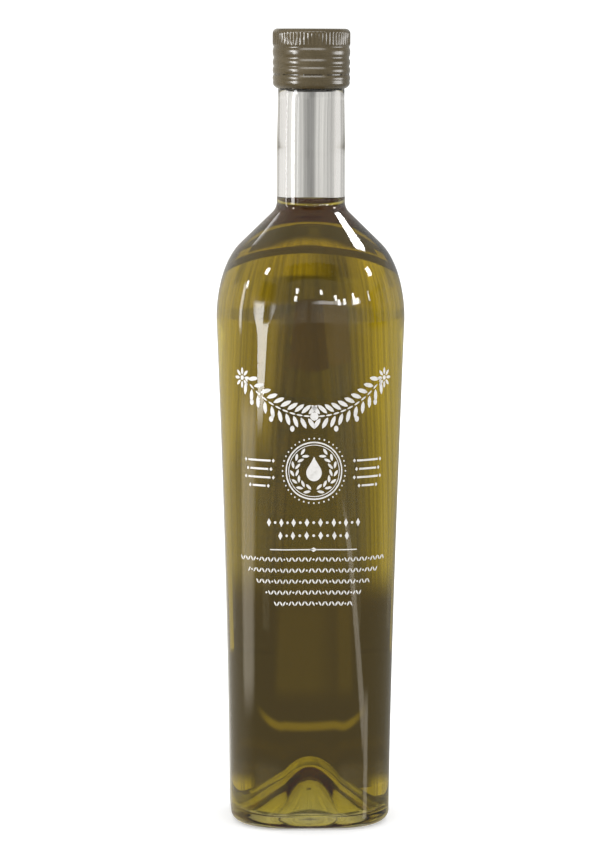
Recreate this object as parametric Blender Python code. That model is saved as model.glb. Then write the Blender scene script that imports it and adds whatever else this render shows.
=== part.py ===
"""Olive oil bottle, 75 cl.

Clear glass, round at the shoulder and square with rounded corners at the foot, with a
punt pushed up into its base. It holds oil up to the foot of the neck and is shut with a
knurled aluminium screw cap, whose tamper band still hangs on by its bridges.
Metres, +Z up. The origin is the centre of the foot, and the printed side faces -Y.
"""

import math

import bmesh
import bpy

# The whole bottle
TOTAL_HEIGHT = 0.3230
CAP_DIAMETER = 0.0315
CAP_HEIGHT = 0.0246
CAP_FOOT = TOTAL_HEIGHT - CAP_HEIGHT

# Outside of the body: half widths, and half the length of its flat sides
FOOT_HALF_WIDTH = 0.0324
SHOULDER_HALF_WIDTH = 0.0383
SHOULDER_START = 0.2060
FLARE_POWER = 1.55
FLAT_HALF = 0.0110
FLAT_END = 0.2250
HEEL_RADIUS = 0.0045
PUNT_RADIUS = 0.0210
PUNT_HEIGHT = 0.0225

# Outside of the shoulder and neck
SHOULDER_DROP = 0.0340
SHOULDER_REACH = 0.0176
SHOULDER_END = 0.2367
NECK_RADIUS = 0.01385
NECK_TOP_RADIUS = 0.01345
NECK_FOOT = 0.2507
NECK_FILLET = 0.0060
NECK_TAPER_START = NECK_FOOT + 0.0270
NECK_TAPER_END = CAP_FOOT - 0.0040
LOCKING_RING_RADIUS = 0.0142
LOCKING_RING_FOOT = CAP_FOOT + 0.0012
LOCKING_RING_RISE = 0.0016
LIP_TOP = TOTAL_HEIGHT - 0.0012
LIP_ROUND = 0.0015

# Inside of the glass
WALL = 0.0038
BORE_RADIUS = 0.0102
BORE_FOOT = NECK_FOOT + 0.0035
FLOOR_THICKNESS = 0.0060
PUNT_THICKNESS = 0.0045
INNER_PUNT_RADIUS = 0.0205
INNER_HEEL_RADIUS = 0.0075

# The oil
OIL_LEVEL = 0.2525
OIL_GAP = 0.0003

# The cap
KNURL_RIDGES = 72
KNURL_DEPTH = 0.0003
CAP_ROUND = 0.0020
CAP_INNER_RADIUS = 0.01465
CAP_TOP_THICKNESS = 0.0008
CURL_RADIUS = 0.01410
CURL_THICKNESS = 0.00035
CURL_RISE = 0.0026
SLIT_DEPTH_FROM_TOP = 0.0184
SLIT_HEIGHT = 0.0004
SLIT_COUNT = 10
BRIDGE_ANGLE = math.radians(7)

# How finely the round shapes are cut
CORNER_POINTS = 9
CAP_POINTS = 48
BODY_STEPS = 11
SHOULDER_STEPS = 7
ARC_STEPS = 4
PUNT_STEPS = 6


def half_width(z):
    """Half the body's width at a height between the foot and the shoulder."""
    share = min(max(z / SHOULDER_START, 0.0), 1.0)
    return FOOT_HALF_WIDTH + (SHOULDER_HALF_WIDTH - FOOT_HALF_WIDTH) * share**FLARE_POWER


def flat_half(half, z):
    """Half the length of a flat side, which fades out on the way up to the round shoulder."""
    share = min(max(z / FLAT_END, 0.0), 1.0)
    fading = FLAT_HALF * (1.0 - share**3) ** 1.5
    return min(fading, half * FLAT_HALF / FOOT_HALF_WIDTH)


def arc(centre_r, centre_z, radius, start, end, steps=ARC_STEPS):
    """Points (r, z) on an arc, from angle start to end, in degrees from +r towards +z."""
    angles = [math.radians(start + (end - start) * i / steps) for i in range(steps + 1)]
    return [(centre_r + radius * math.cos(a), centre_z + radius * math.sin(a)) for a in angles]


def dome(radius, foot, top):
    """The profile (r, z) of a parabola's dome, from its top on the axis down to its foot."""
    radii = [radius * i / PUNT_STEPS for i in range(PUNT_STEPS + 1)]
    return [(r, foot + (top - foot) * (1.0 - (r / radius) ** 2)) for r in radii]


def body_line():
    """The outside above the heel, up to where the shoulder starts."""
    rise = SHOULDER_START - HEEL_RADIUS
    heights = [HEEL_RADIUS + rise * i / BODY_STEPS for i in range(1, BODY_STEPS + 1)]
    return [(half_width(z), z) for z in heights]


def shoulder_line():
    """The shoulder's quarter of an ellipse, up to where its cone starts."""
    points = []
    for i in range(1, SHOULDER_STEPS + 1):
        z = SHOULDER_START + (SHOULDER_END - SHOULDER_START) * i / SHOULDER_STEPS
        share = (z - SHOULDER_START) / SHOULDER_DROP
        r = SHOULDER_HALF_WIDTH - SHOULDER_REACH * (1.0 - math.sqrt(1.0 - share * share))
        points.append((r, z))
    return points


def neck_fillet():
    """The hollow curve between the shoulder's cone and the neck."""
    cone_r, cone_z = shoulder_line()[-1]
    slope = math.degrees(math.atan2(NECK_FOOT - cone_z, cone_r - NECK_RADIUS))
    turn = 90.0 - slope
    tangent = NECK_FILLET * math.tan(math.radians(turn / 2))
    return arc(NECK_RADIUS + NECK_FILLET, NECK_FOOT + tangent, NECK_FILLET, 180.0 + turn, 180.0)


def outer_profile():
    """The outside of the glass as (half width, z), from the heel to the lip."""
    heel = arc(FOOT_HALF_WIDTH - HEEL_RADIUS, HEEL_RADIUS, HEEL_RADIUS, -90, 0)
    finish = [
        (NECK_RADIUS, NECK_TAPER_START),
        (NECK_TOP_RADIUS, NECK_TAPER_END),
        (NECK_TOP_RADIUS, LOCKING_RING_FOOT),
        (LOCKING_RING_RADIUS, LOCKING_RING_FOOT + LOCKING_RING_RISE),
    ]
    lip = arc(LOCKING_RING_RADIUS - LIP_ROUND, LIP_TOP - LIP_ROUND, LIP_ROUND, 0, 90)
    return heel + body_line() + shoulder_line() + neck_fillet() + finish + lip


def inner_profile():
    """The inside of the glass as (half width, z), from the punt's top up to the mouth."""
    punt = dome(INNER_PUNT_RADIUS, FLOOR_THICKNESS, PUNT_HEIGHT + PUNT_THICKNESS)
    heel_z = FLOOR_THICKNESS + INNER_HEEL_RADIUS
    heel_r = FOOT_HALF_WIDTH - WALL - INNER_HEEL_RADIUS
    heel = arc(heel_r, heel_z, INNER_HEEL_RADIUS, -90, 0)
    wall = [(r - WALL, z) for r, z in body_line() if z > heel_z]
    shoulder = offset(shoulder_line() + neck_fillet(), WALL)
    shoulder = [(r, z) for r, z in shoulder if r > BORE_RADIUS + LIP_ROUND / 2]
    bore = [(BORE_RADIUS, BORE_FOOT), (BORE_RADIUS, CAP_FOOT)]
    mouth = arc(BORE_RADIUS + LIP_ROUND, LIP_TOP - LIP_ROUND, LIP_ROUND, 180, 90)
    return punt + heel + wall + shoulder + bore + mouth


def offset(points, distance):
    """A line of (r, z) points moved sideways, towards its left as it runs."""
    moved = []
    for i, (r, z) in enumerate(points):
        r0, z0 = points[max(i - 1, 0)]
        r1, z1 = points[min(i + 1, len(points) - 1)]
        along_r, along_z = r1 - r0, z1 - z0
        length = math.hypot(along_r, along_z)
        on_axis = r < OIL_GAP
        aside = 0.0 if on_axis else distance * along_z / length
        up = distance if on_axis else distance * along_r / length
        moved.append((r - aside, z + up))
    return moved


def cut_at(line, level):
    """A rising line of (r, z) points up to a level, with its last point on that level."""
    for i, ((r0, z0), (r1, z1)) in enumerate(zip(line, line[1:])):
        if i > PUNT_STEPS and z0 < level <= z1:
            share = (level - z0) / (z1 - z0)
            return line[: i + 1] + [(r0 + (r1 - r0) * share, level)]
    return line


def section(half, flat, z):
    """A ring at a height: a square with rounded corners, or a circle where flat is zero."""
    step = math.radians(90.0) / CORNER_POINTS
    radius = (half - flat) / math.cos(step / 2)
    ring = []
    for quarter, (side_x, side_y) in enumerate(((1, 1), (-1, 1), (-1, -1), (1, -1))):
        for i in range(CORNER_POINTS):
            angle = math.radians(90.0) * quarter + step * (i + 0.5)
            x = side_x * flat + radius * math.cos(angle)
            y = side_y * flat + radius * math.sin(angle)
            ring.append((x, y, z))
    return ring


def body_rings(line):
    """The sections of the bottle along a line of (half width, z)."""
    return [section(half, flat_half(half, z), z) for half, z in line]


def dome_rings(line):
    """The round rings along a dome's profile, without its point on the axis."""
    return [section(r, 0.0, z) for r, z in line[1:]]


def cap_ring(radius, z):
    """A plain round ring of the cap."""
    angles = [2.0 * math.pi * i / CAP_POINTS for i in range(CAP_POINTS)]
    return [(radius * math.cos(a), radius * math.sin(a), z) for a in angles]


def knurl_ring(radius, z):
    """A ring of the cap whose points stand out and in by turns, one pair to a ridge."""
    count = 2 * KNURL_RIDGES
    ring = []
    for i in range(count):
        angle = 2.0 * math.pi * i / count
        reach = radius - KNURL_DEPTH * (i % 2)
        ring.append((reach * math.cos(angle), reach * math.sin(angle), z))
    return ring


def material(name, colour, roughness, metallic=0.0, alpha=1.0, transmission=0.0):
    """A Principled material with the given finish."""
    made = bpy.data.materials.new(name)
    made.use_nodes = True
    shader = made.node_tree.nodes["Principled BSDF"]
    shader.inputs["Base Color"].default_value = (*colour, 1.0)
    shader.inputs["Roughness"].default_value = roughness
    shader.inputs["Metallic"].default_value = metallic
    shader.inputs["Alpha"].default_value = alpha
    shader.inputs["Transmission Weight"].default_value = transmission
    return made


def bridge(mesh, low, high):
    """Faces between two rings, one of which may have several times the other's points."""
    coarse, fine = sorted((low, high), key=len)
    share = len(fine) // len(coarse)
    middle = (share + 1) // 2
    for i, here in enumerate(coarse):
        after = coarse[(i + 1) % len(coarse)]
        span = [fine[(i * share + k) % len(fine)] for k in range(share + 1)]
        if share == 1:
            mesh.faces.new((here, after, span[1], span[0]))
            continue
        for k in range(share):
            corner = here if k < middle else after
            mesh.faces.new((corner, span[k], span[k + 1]))
        mesh.faces.new((here, after, span[middle]))


def link(name, mesh):
    """A new object in the scene that holds a finished bmesh."""
    bmesh.ops.recalc_face_normals(mesh, faces=mesh.faces)
    data = bpy.data.meshes.new(name)
    mesh.to_mesh(data)
    mesh.free()
    made = bpy.data.objects.new(name, data)
    bpy.context.scene.collection.objects.link(made)
    return made


def loft(name, rings, first_pole, last_pole, finish):
    """One closed object through rings, with a fan of faces to a pole on the axis at each end."""
    mesh = bmesh.new()
    loops = [[mesh.verts.new(point) for point in ring] for ring in rings]
    for low, high in zip(loops, loops[1:]):
        bridge(mesh, low, high)
    for loop, pole in ((loops[0], first_pole), (loops[-1], last_pole)):
        tip = mesh.verts.new((0.0, 0.0, pole))
        for i, corner in enumerate(loop):
            mesh.faces.new((corner, loop[(i + 1) % len(loop)], tip))
    made = link(name, mesh)
    made.data.materials.append(finish)
    made.data.shade_smooth()
    made.data.set_sharp_from_angle(angle=math.radians(40))
    return made


def make_glass():
    """The bottle: punt, foot, body, shoulder, neck and lip outside, and the hollow inside."""
    finish = material("clear_glass", (0.93, 0.95, 0.92), 0.03, alpha=0.35, transmission=1.0)
    punt = dome(PUNT_RADIUS, 0.0, PUNT_HEIGHT)
    inside = inner_profile()
    inner_punt, inner_wall = inside[: PUNT_STEPS + 1], inside[PUNT_STEPS + 1 :]
    rings = dome_rings(punt) + body_rings(outer_profile())
    rings += body_rings(reversed(inner_wall))
    rings += reversed(dome_rings(inner_punt))
    return loft("glass_bottle", rings, punt[0][1], inner_punt[0][1], finish)


def make_oil():
    """The oil, up to its level, a hair clear of the glass all round."""
    finish = material("olive_oil", (0.46, 0.38, 0.05), 0.05, alpha=0.85, transmission=1.0)
    line = cut_at(offset(inner_profile(), OIL_GAP), OIL_LEVEL)
    rings = dome_rings(line[: PUNT_STEPS + 1]) + body_rings(line[PUNT_STEPS + 1 :])
    return loft("olive_oil", rings, line[0][1], OIL_LEVEL, finish)


def cap_skirt():
    """The cap's outside below its knurl: (depth from the top, distance in from the full radius)."""
    return (
        (0.0070, 0.00040),
        (0.0082, 0.00040),
        (0.0094, 0.00010),
        (0.0106, 0.00040),
        (0.0120, 0.00040),
        (0.0132, 0.00010),
        (0.0144, 0.00040),
        (0.0154, 0.00030),
        (0.0170, 0.00005),
        (0.0178, 0.00030),
        (0.0191, 0.00020),
        (0.0199, 0.00000),
        (0.0207, 0.00025),
        (0.0217, 0.00015),
        (0.0228, 0.00045),
        (0.0240, 0.00130),
    )


def make_cap():
    """The aluminium cap, with its knurl, rolled beads and tamper band."""
    finish = material("cap_lacquer", (0.055, 0.047, 0.030), 0.32, metallic=0.6)
    full = CAP_DIAMETER / 2
    crown = arc(full - CAP_ROUND, TOTAL_HEIGHT - CAP_ROUND, CAP_ROUND, 90, 25)
    rings = [cap_ring(r, z) for r, z in crown]
    rings += [knurl_ring(full, TOTAL_HEIGHT - CAP_ROUND), knurl_ring(full, TOTAL_HEIGHT - 0.0064)]
    rings += [cap_ring(full - inset, TOTAL_HEIGHT - depth) for depth, inset in cap_skirt()]
    ceiling = TOTAL_HEIGHT - CAP_TOP_THICKNESS
    rings += [
        cap_ring(CURL_RADIUS, CAP_FOOT),
        cap_ring(CURL_RADIUS - CURL_THICKNESS, CAP_FOOT),
        cap_ring(CAP_INNER_RADIUS, CAP_FOOT + CURL_RISE),
        cap_ring(CAP_INNER_RADIUS, ceiling - CAP_TOP_THICKNESS),
        cap_ring(CAP_INNER_RADIUS - CAP_TOP_THICKNESS, ceiling),
    ]
    cap = loft("screw_cap", rings, TOTAL_HEIGHT, ceiling, finish)
    cut = cap.modifiers.new("tamper_slits", "BOOLEAN")
    cut.operation = "DIFFERENCE"
    cut.solver = "EXACT"
    cut.object = make_slit_cutter()
    return cap


def make_slit_cutter():
    """The slits between the skirt and the tamper band, with a bridge between each two."""
    mesh = bmesh.new()
    low = TOTAL_HEIGHT - SLIT_DEPTH_FROM_TOP - SLIT_HEIGHT / 2
    high = low + SLIT_HEIGHT
    inner = CAP_INNER_RADIUS - SLIT_HEIGHT
    outer = CAP_DIAMETER / 2 + SLIT_HEIGHT
    pitch = 2.0 * math.pi / SLIT_COUNT
    for n in range(SLIT_COUNT):
        start = n * pitch + BRIDGE_ANGLE / 2
        angles = [start + (pitch - BRIDGE_ANGLE) * i / ARC_STEPS for i in range(ARC_STEPS + 1)]
        lines = []
        for radius, z in ((inner, low), (outer, low), (outer, high), (inner, high)):
            points = [(radius * math.cos(a), radius * math.sin(a), z) for a in angles]
            lines.append([mesh.verts.new(point) for point in points])
        for near, far in zip(lines, lines[1:] + lines[:1]):
            for i in range(ARC_STEPS):
                mesh.faces.new((near[i], near[i + 1], far[i + 1], far[i]))
        mesh.faces.new([line[0] for line in lines])
        mesh.faces.new([line[-1] for line in lines])
    cutter = link("slit_cutter", mesh)
    cutter.hide_render = True
    cutter.display_type = "WIRE"
    return cutter


def main():
    """Clears the scene and makes the three pieces."""
    for old in list(bpy.data.objects):
        bpy.data.objects.remove(old)
    make_glass()
    make_oil()
    make_cap()


main()
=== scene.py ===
"""The looks of an olive oil bottle: clear glass, golden green oil, a dark screw cap and white print.

Everything is in metres in the frame of the CAD model: +Z up, the printed front towards -Y.
"""
import logging
import math
from collections.abc import Callable, Sequence
from dataclasses import dataclass
from enum import Enum

import bmesh
import bpy
from mathutils import Matrix, Vector


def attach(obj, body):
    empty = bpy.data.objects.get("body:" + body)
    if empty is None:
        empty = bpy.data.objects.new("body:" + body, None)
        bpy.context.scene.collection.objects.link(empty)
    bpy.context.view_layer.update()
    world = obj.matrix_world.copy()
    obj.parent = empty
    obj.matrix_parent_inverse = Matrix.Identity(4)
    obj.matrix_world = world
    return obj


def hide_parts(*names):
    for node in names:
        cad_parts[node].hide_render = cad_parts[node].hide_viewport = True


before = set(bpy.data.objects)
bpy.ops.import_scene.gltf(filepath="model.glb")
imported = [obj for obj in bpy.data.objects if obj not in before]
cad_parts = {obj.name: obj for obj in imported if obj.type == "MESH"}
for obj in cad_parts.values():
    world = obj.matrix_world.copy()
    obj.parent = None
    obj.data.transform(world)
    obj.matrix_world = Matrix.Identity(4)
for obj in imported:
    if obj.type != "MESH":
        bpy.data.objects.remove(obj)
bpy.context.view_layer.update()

LOG = logging.getLogger("olive_oil_bottle")
# Heights closer than NEAR count as one, and rims that are bridged stand RIM_STEP apart
NEAR = 2e-6
RIM_STEP = 0.00002
# The tint of the studio's warmer light
WARM = (1.0, 0.93, 0.80)
# The turn that stands a flat shape up to face the front
UPRIGHT = (math.radians(90.0), 0.0, 0.0)


# Bench work: selecting, starting, joining and closing pieces


def clear_selection() -> None:
    """Leave edit mode and deselect every object."""
    if bpy.context.object and bpy.context.object.mode != "OBJECT":
        bpy.ops.object.mode_set(mode="OBJECT")
    bpy.ops.object.select_all(action="DESELECT")


def pick(piece: bpy.types.Object, wanted: Callable[[Vector], bool]) -> None:
    """Select the vertices of a piece in edit mode by their place.

    Args:
        piece: The object whose mesh is being edited.
        wanted: Says for a vertex's place whether it is selected.
    """
    mesh = bmesh.from_edit_mesh(piece.data)
    mesh.select_mode = {"VERT"}
    for vertex in mesh.verts:
        vertex.select = wanted(vertex.co)
    mesh.select_flush_mode()
    bmesh.update_edit_mesh(piece.data)


def at_height(*heights: float) -> Callable[[Vector], bool]:
    """Return a test that holds for points at any of the given heights."""
    return lambda place: any(abs(place.z - height) < NEAR for height in heights)


def open_piece(piece: bpy.types.Object) -> None:
    """Go into edit mode on a piece, with its vertices all selected.

    Args:
        piece: The object.
    """
    clear_selection()
    piece.select_set(True)
    bpy.context.view_layer.objects.active = piece
    bpy.ops.object.mode_set(mode="EDIT")
    bpy.ops.mesh.select_mode(type="VERT")
    bpy.ops.mesh.select_all(action="SELECT")


def close_rim(piece: bpy.types.Object, height: float) -> None:
    """Close the open rim at a height to a point, in edit mode.

    Args:
        piece: The object whose mesh is being edited.
        height: The rim's height.
    """
    pick(piece, at_height(height))
    bpy.ops.mesh.edge_face_add()
    bpy.ops.mesh.poke()


def join_pieces(name: str, parts: Sequence[bpy.types.Object]) -> bpy.types.Object:
    """Join objects into one mesh.

    Args:
        name: The name of the joined object.
        parts: The objects, of which the first is kept.

    Returns:
        The joined object.
    """
    clear_selection()
    for part in parts:
        part.select_set(True)
    bpy.context.view_layer.objects.active = parts[0]
    bpy.ops.object.join()
    parts[0].name = parts[0].data.name = name
    return parts[0]


def close_piece(piece: bpy.types.Object, finish: bpy.types.Material, sharp_over: float) -> None:
    """Turn a closed mesh's faces outwards, smooth them and give them their finish.

    Args:
        piece: The object.
        finish: Its material.
        sharp_over: Edges that turn by more than this many degrees stay sharp.
    """
    open_piece(piece)
    bpy.ops.mesh.normals_make_consistent(inside=False)
    bpy.ops.object.mode_set(mode="OBJECT")
    bpy.ops.object.shade_smooth_by_angle(angle=math.radians(sharp_over))
    piece.data.materials.clear()
    piece.data.materials.append(finish)


@dataclass(frozen=True)
class Ring:
    """A level section: a square with rounded corners, or nearly a circle.

    Attributes:
        half: Half its width.
        flat: Half the length of its flat sides.
        height: Its height.
    """

    half: float
    flat: float
    height: float


@dataclass(frozen=True)
class Loft:
    """Rings that are bridged one to the next into a wall.

    Attributes:
        corner_cuts: Segments in each rounded corner.
        least_flat: The flat side's share of the half width where a ring is round.
    """

    corner_cuts: int = 32
    least_flat: float = 0.004

    def add_ring(self, ring: Ring) -> None:
        """Add a ring in edit mode: a plane whose corners are bevelled round, without its face.

        Args:
            ring: The section that it gives.
        """
        bpy.ops.mesh.primitive_plane_add(size=2 * ring.half, location=(0, 0, ring.height))
        corner = ring.half - max(ring.flat, self.least_flat * ring.half)
        bpy.ops.mesh.bevel(
            offset_type="OFFSET",
            offset=corner,
            segments=self.corner_cuts,
            affect="VERTICES",
            clamp_overlap=False,
        )
        bpy.ops.mesh.delete(type="ONLY_FACE")

    def wall(self, name: str, rings: Sequence[Ring], pole: bool = False) -> bpy.types.Object:
        """Make an open wall through rings of rising height.

        Args:
            name: The object's name.
            rings: The sections, lowest first.
            pole: Whether the last ring is closed to a point.

        Returns:
            The object, at the origin, in object mode.
        """
        clear_selection()
        bpy.ops.mesh.primitive_plane_add(size=1.0, location=(0, 0, 0))
        piece = bpy.context.object
        piece.name = name
        open_piece(piece)
        bpy.ops.mesh.delete(type="VERT")
        self.add_ring(rings[0])
        for low, high in zip(rings, rings[1:]):
            self.add_ring(high)
            pick(piece, at_height(low.height, high.height))
            bpy.ops.mesh.bridge_edge_loops()
        if pole:
            close_rim(piece, rings[-1].height)
        bpy.ops.object.mode_set(mode="OBJECT")
        return piece

    def bridge_from(self, piece: bpy.types.Object, *heights: float) -> None:
        """Bridge the open rim at each height to the one a hair above it.

        Rims at one and the same height would be bridged crosswise.

        Args:
            piece: The object.
            *heights: The heights of the lower rims.
        """
        for height in heights:
            open_piece(piece)
            pick(piece, at_height(height, height + RIM_STEP))
            bpy.ops.mesh.bridge_edge_loops()
            bpy.ops.object.mode_set(mode="OBJECT")


def arc(
    centre: tuple[float, float], radius: float, start: float, end: float, steps: int
) -> list[tuple[float, float]]:
    """Return points (r, z) on an arc from one angle to another.

    Args:
        centre: The arc's centre (r, z).
        radius: Its radius.
        start: The first angle in degrees, from +r towards +z.
        end: The last angle.
        steps: How many steps it has.

    Returns:
        The points, both ends included.
    """
    angles = [math.radians(start + (end - start) * i / steps) for i in range(steps + 1)]
    return [(centre[0] + radius * math.cos(a), centre[1] + radius * math.sin(a)) for a in angles]


# The bottle's form, which the glass and the oil share


@dataclass(frozen=True)
class BottleForm:
    """The real sizes of the bottle, outside and inside."""

    foot_half_width: float = 0.0324
    shoulder_half_width: float = 0.0383
    shoulder_start: float = 0.2060
    flare_power: float = 1.55
    flat_half: float = 0.0110
    flat_end: float = 0.2250
    heel_radius: float = 0.0045
    punt_radius: float = 0.0210
    punt_height: float = 0.0225
    punt_fillet: float = 0.0012
    shoulder_drop: float = 0.0340
    shoulder_reach: float = 0.0176
    shoulder_end: float = 0.2367
    neck_radius: float = 0.01385
    neck_top_radius: float = 0.01345
    neck_foot: float = 0.2507
    neck_fillet: float = 0.0060
    neck_taper_start: float = 0.2777
    neck_taper_end: float = 0.2944
    ring_radius: float = 0.0142
    ring_foot: float = 0.2996
    ring_rise: float = 0.0016
    lip_top: float = 0.3218
    lip_round: float = 0.0015
    wall: float = 0.0038
    bore_radius: float = 0.0102
    bore_heights: tuple[float, ...] = (0.2543, 0.2750, 0.2984)
    floor: float = 0.0044
    punt_thickness: float = 0.0038
    inner_punt_radius: float = 0.0205
    inner_heel_radius: float = 0.0060
    body_steps: int = 40
    shoulder_steps: int = 26
    punt_steps: int = 18

    def half_width(self, z: float) -> float:
        """Return half the body's width at a height.

        Args:
            z: The height.

        Returns:
            Half the width.
        """
        share = min(max(z / self.shoulder_start, 0.0), 1.0)
        gain = self.shoulder_half_width - self.foot_half_width
        return self.foot_half_width + gain * share**self.flare_power

    def flat_at(self, half: float, z: float) -> float:
        """Return half a flat side's length, which fades out towards the round shoulder.

        Args:
            half: Half the body's width.
            z: The height.

        Returns:
            Half the length.
        """
        share = min(max(z / self.flat_end, 0.0), 1.0)
        fading = self.flat_half * (1.0 - share**3) ** 1.5
        return min(fading, half * self.flat_half / self.foot_half_width)

    def rings(self, line: Sequence[tuple[float, float]]) -> list[Ring]:
        """Return the bottle's sections along a line of (half width, z)."""
        return [Ring(half, self.flat_at(half, z), z) for half, z in line]

    def body_line(self) -> list[tuple[float, float]]:
        """Return the outside between the heel and the shoulder.

        Returns:
            Points (half width, z), lowest first.
        """
        rise = self.shoulder_start - self.heel_radius
        heights = [self.heel_radius + rise * i / self.body_steps for i in range(1, self.body_steps + 1)]
        return [(self.half_width(z), z) for z in heights]

    def shoulder_line(self) -> list[tuple[float, float]]:
        """Return the shoulder's part of an ellipse, up to where its cone starts.

        Returns:
            Points (half width, z), lowest first.
        """
        points = []
        for i in range(1, self.shoulder_steps + 1):
            z = self.shoulder_start + (self.shoulder_end - self.shoulder_start) * i / self.shoulder_steps
            share = (z - self.shoulder_start) / self.shoulder_drop
            inwards = self.shoulder_reach * (1.0 - math.sqrt(1.0 - share * share))
            points.append((self.shoulder_half_width - inwards, z))
        return points

    def neck_line(self) -> list[tuple[float, float]]:
        """Return the hollow curve between the shoulder's cone and the neck.

        Returns:
            Points (half width, z), lowest first.
        """
        cone_r, cone_z = self.shoulder_line()[-1]
        slope = math.degrees(math.atan2(self.neck_foot - cone_z, cone_r - self.neck_radius))
        turn = 90.0 - slope
        tangent = self.neck_fillet * math.tan(math.radians(turn / 2))
        centre = (self.neck_radius + self.neck_fillet, self.neck_foot + tangent)
        curve = arc(centre, self.neck_fillet, 180.0 + turn, 180.0, 10)
        start_r, start_z = curve[0]
        cone = [
            (cone_r + (start_r - cone_r) * i / 5, cone_z + (start_z - cone_z) * i / 5)
            for i in range(1, 5)
        ]
        return cone + curve

    def outer_line(self) -> list[tuple[float, float]]:
        """Return the outside (half width, z) from the heel to the lip.

        Returns:
            Points (half width, z), lowest first.
        """
        heel_centre = (self.foot_half_width - self.heel_radius, self.heel_radius)
        heel = arc(heel_centre, self.heel_radius, -90, 0, 10)
        finish = [
            (self.neck_radius, self.neck_taper_start),
            (self.neck_top_radius, self.neck_taper_end),
            (self.neck_top_radius, self.ring_foot),
            (self.ring_radius, self.ring_foot + self.ring_rise),
        ]
        lip_centre = (self.ring_radius - self.lip_round, self.lip_top - self.lip_round)
        lip = arc(lip_centre, self.lip_round, 0, 90, 5)
        return heel + self.body_line() + self.shoulder_line() + self.neck_line() + finish + lip

    def inner_line(self, reach: float = 0.0) -> list[tuple[float, float]]:
        """Return the inside from the floor up to the mouth.

        Args:
            reach: How far the line is pushed into the wall.

        Returns:
            Points (half width, z), lowest first.
        """
        wall = self.wall - reach
        heel_radius = self.inner_heel_radius + reach
        heel_r = self.foot_half_width - self.wall - self.inner_heel_radius
        heel_z = self.floor + self.inner_heel_radius
        heel = arc((heel_r, heel_z), heel_radius, -90, 0, 12)
        body = [(r - wall, z) for r, z in self.body_line() if z > heel_z]
        upper = offset(self.shoulder_line() + self.neck_line(), wall)
        bore = self.bore_radius + reach
        upper = [(r, z) for r, z in upper if r > bore + self.lip_round / 2]
        mouth_centre = (self.bore_radius + self.lip_round, self.lip_top - self.lip_round - RIM_STEP)
        mouth = arc(mouth_centre, self.lip_round - reach, 180, 90, 5)
        tube = [(bore, z) for z in self.bore_heights]
        return heel + body + upper + tube + mouth

    def punt_line(self) -> list[tuple[float, float]]:
        """Return the hollow under the foot, from its rounded rim up to near its top.

        Returns:
            Points (r, z), lowest first.
        """
        rim_slope = math.degrees(math.atan(2 * self.punt_height / self.punt_radius))
        drop = self.punt_fillet * (1.0 - math.cos(math.radians(rim_slope)))
        meet = self.punt_radius * math.sqrt(1.0 - drop / self.punt_height)
        centre_r = meet + self.punt_fillet * math.sin(math.radians(rim_slope))
        rim = arc((centre_r, self.punt_fillet + RIM_STEP), self.punt_fillet, -90, -90 - rim_slope, 5)
        return rim + parabola(meet, self.punt_radius, 0.0, self.punt_height, self.punt_steps)

    def inner_punt_line(self, reach: float = 0.0) -> list[tuple[float, float]]:
        """Return the floor's dome inside, from its foot up to near its top.

        Args:
            reach: How far it is pushed into the glass.

        Returns:
            Points (r, z), lowest first.
        """
        foot = self.floor - reach + RIM_STEP
        top = self.punt_height + self.punt_thickness - reach
        start = [(self.inner_punt_radius, foot)]
        return start + parabola(
            self.inner_punt_radius, self.inner_punt_radius, foot, top, self.punt_steps
        )


def parabola(
    start: float, radius: float, foot: float, top: float, steps: int
) -> list[tuple[float, float]]:
    """Return a dome's profile from just inside its start radius up to near its pole.

    Args:
        start: The radius where the line starts, which is left out.
        radius: The radius where the dome would reach its foot.
        foot: The height of its foot.
        top: The height of its pole.
        steps: How many steps it has.

    Returns:
        Points (r, z), lowest first, the last close to the pole.
    """
    radii = [start * (1.0 - i / steps) for i in range(1, steps)] + [start * 0.02]
    return [(r, foot + (top - foot) * (1.0 - (r / radius) ** 2)) for r in radii]


def offset(points: Sequence[tuple[float, float]], distance: float) -> list[tuple[float, float]]:
    """Return a line of (r, z) points moved sideways, towards its left as it runs.

    Args:
        points: The line.
        distance: How far it is moved.

    Returns:
        The moved points.
    """
    moved = []
    for i, (r, z) in enumerate(points):
        r0, z0 = points[max(i - 1, 0)]
        r1, z1 = points[min(i + 1, len(points) - 1)]
        length = math.hypot(r1 - r0, z1 - z0)
        moved.append((r - distance * (z1 - z0) / length, z + distance * (r1 - r0) / length))
    return moved


# Finishes


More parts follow.
